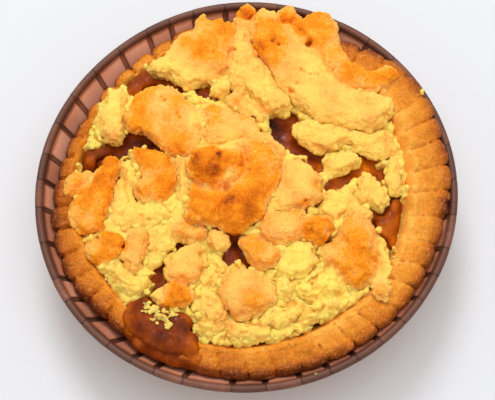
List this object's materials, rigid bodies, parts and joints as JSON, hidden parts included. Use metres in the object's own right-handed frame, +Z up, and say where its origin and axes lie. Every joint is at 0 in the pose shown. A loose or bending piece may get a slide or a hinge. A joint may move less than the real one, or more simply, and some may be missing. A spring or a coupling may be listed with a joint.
{
  "type": "apple crumble tartlet",
  "caption": "Round apple tartlet in a pleated brown paper baking case: fluted shortcrust shell, glossy apple filling and a craggy mound of golden crumble.",
  "frame": {"origin": "middle of the case's flat base, on the surface it stands on, at the middle of the whole object's box in X and Y", "axes": "+Z up; the bank of large crumble slabs lies towards +Y, the side where the pastry laps over the case's bead is +X, and the apple that ran over the rim is near -X -Y"},
  "size_m": [0.1093, 0.1096, 0.0338],
  "materials": {
    "baking_case": "matte",
    "pastry": "matte",
    "apple": "gloss",
    "crumble": "matte"
  },
  "bodies": {
    "root": {"baking_case": "baking_case", "pastry_shell": "pastry", "apple_filling": "apple", "crumble_brown_cap": "crumble", "crumble_centre": "crumble", "crumble_far_nub": "crumble", "crumble_far_wedge": "crumble", "crumble_ridge_slab": "crumble", "crumble_great_slab": "crumble", "crumble_far_left": "crumble", "crumble_far_middle": "crumble", "crumble_left_slab": "crumble", "crumble_middle_slab": "crumble", "crumble_finger": "crumble", "crumble_right_slab": "crumble", "crumble_right_knob": "crumble", "crumble_near_right_ridge": "crumble", "crumble_near_peach": "crumble", "crumble_left_brown": "crumble", "crumble_left_ridge": "crumble", "crumble_left_edge": "crumble", "crumble_left_hook": "crumble", "crumble_near_knob": "crumble", "crumble_near_fan": "crumble", "crumble_near_right_shelf": "crumble", "crumble_near_peach_left": "crumble", "crumble_left_bar": "crumble", "crumble_near_left_lobe": "crumble", "crumble_right_edge": "crumble", "crumble_right_block": "crumble", "crumble_right_strip": "crumble", "crumble_right_tongue": "crumble", "crumble_right_post": "crumble", "crumble_right_cube": "crumble", "crumble_far_pebble": "crumble", "crumble_far_low": "crumble", "crumble_far_step": "crumble", "crumble_near_pebble": "crumble", "crumble_near_flake": "crumble", "crumble_near_right_rubble": "crumble", "crumble_near_pale": "crumble", "crumble_near_strip": "crumble", "crumble_rim_strip": "crumble", "crumble_rim_curb": "crumble", "crumble_near_left_heap": "crumble", "crumble_near_left_drift": "crumble", "crumble_near_crumbs": "crumble", "crumble_left_pale": "crumble", "crumble_left_near_edge": "crumble", "crumble_left_middle": "crumble", "crumble_middle_low": "crumble", "crumble_middle_pocket": "crumble", "crumble_left_rim": "crumble", "crumble_left_nugget": "crumble", "apple_over_rim": "apple", "apple_far_left": "apple", "apple_left": "apple", "apple_right": "apple"}
  },
  "joints": []
}
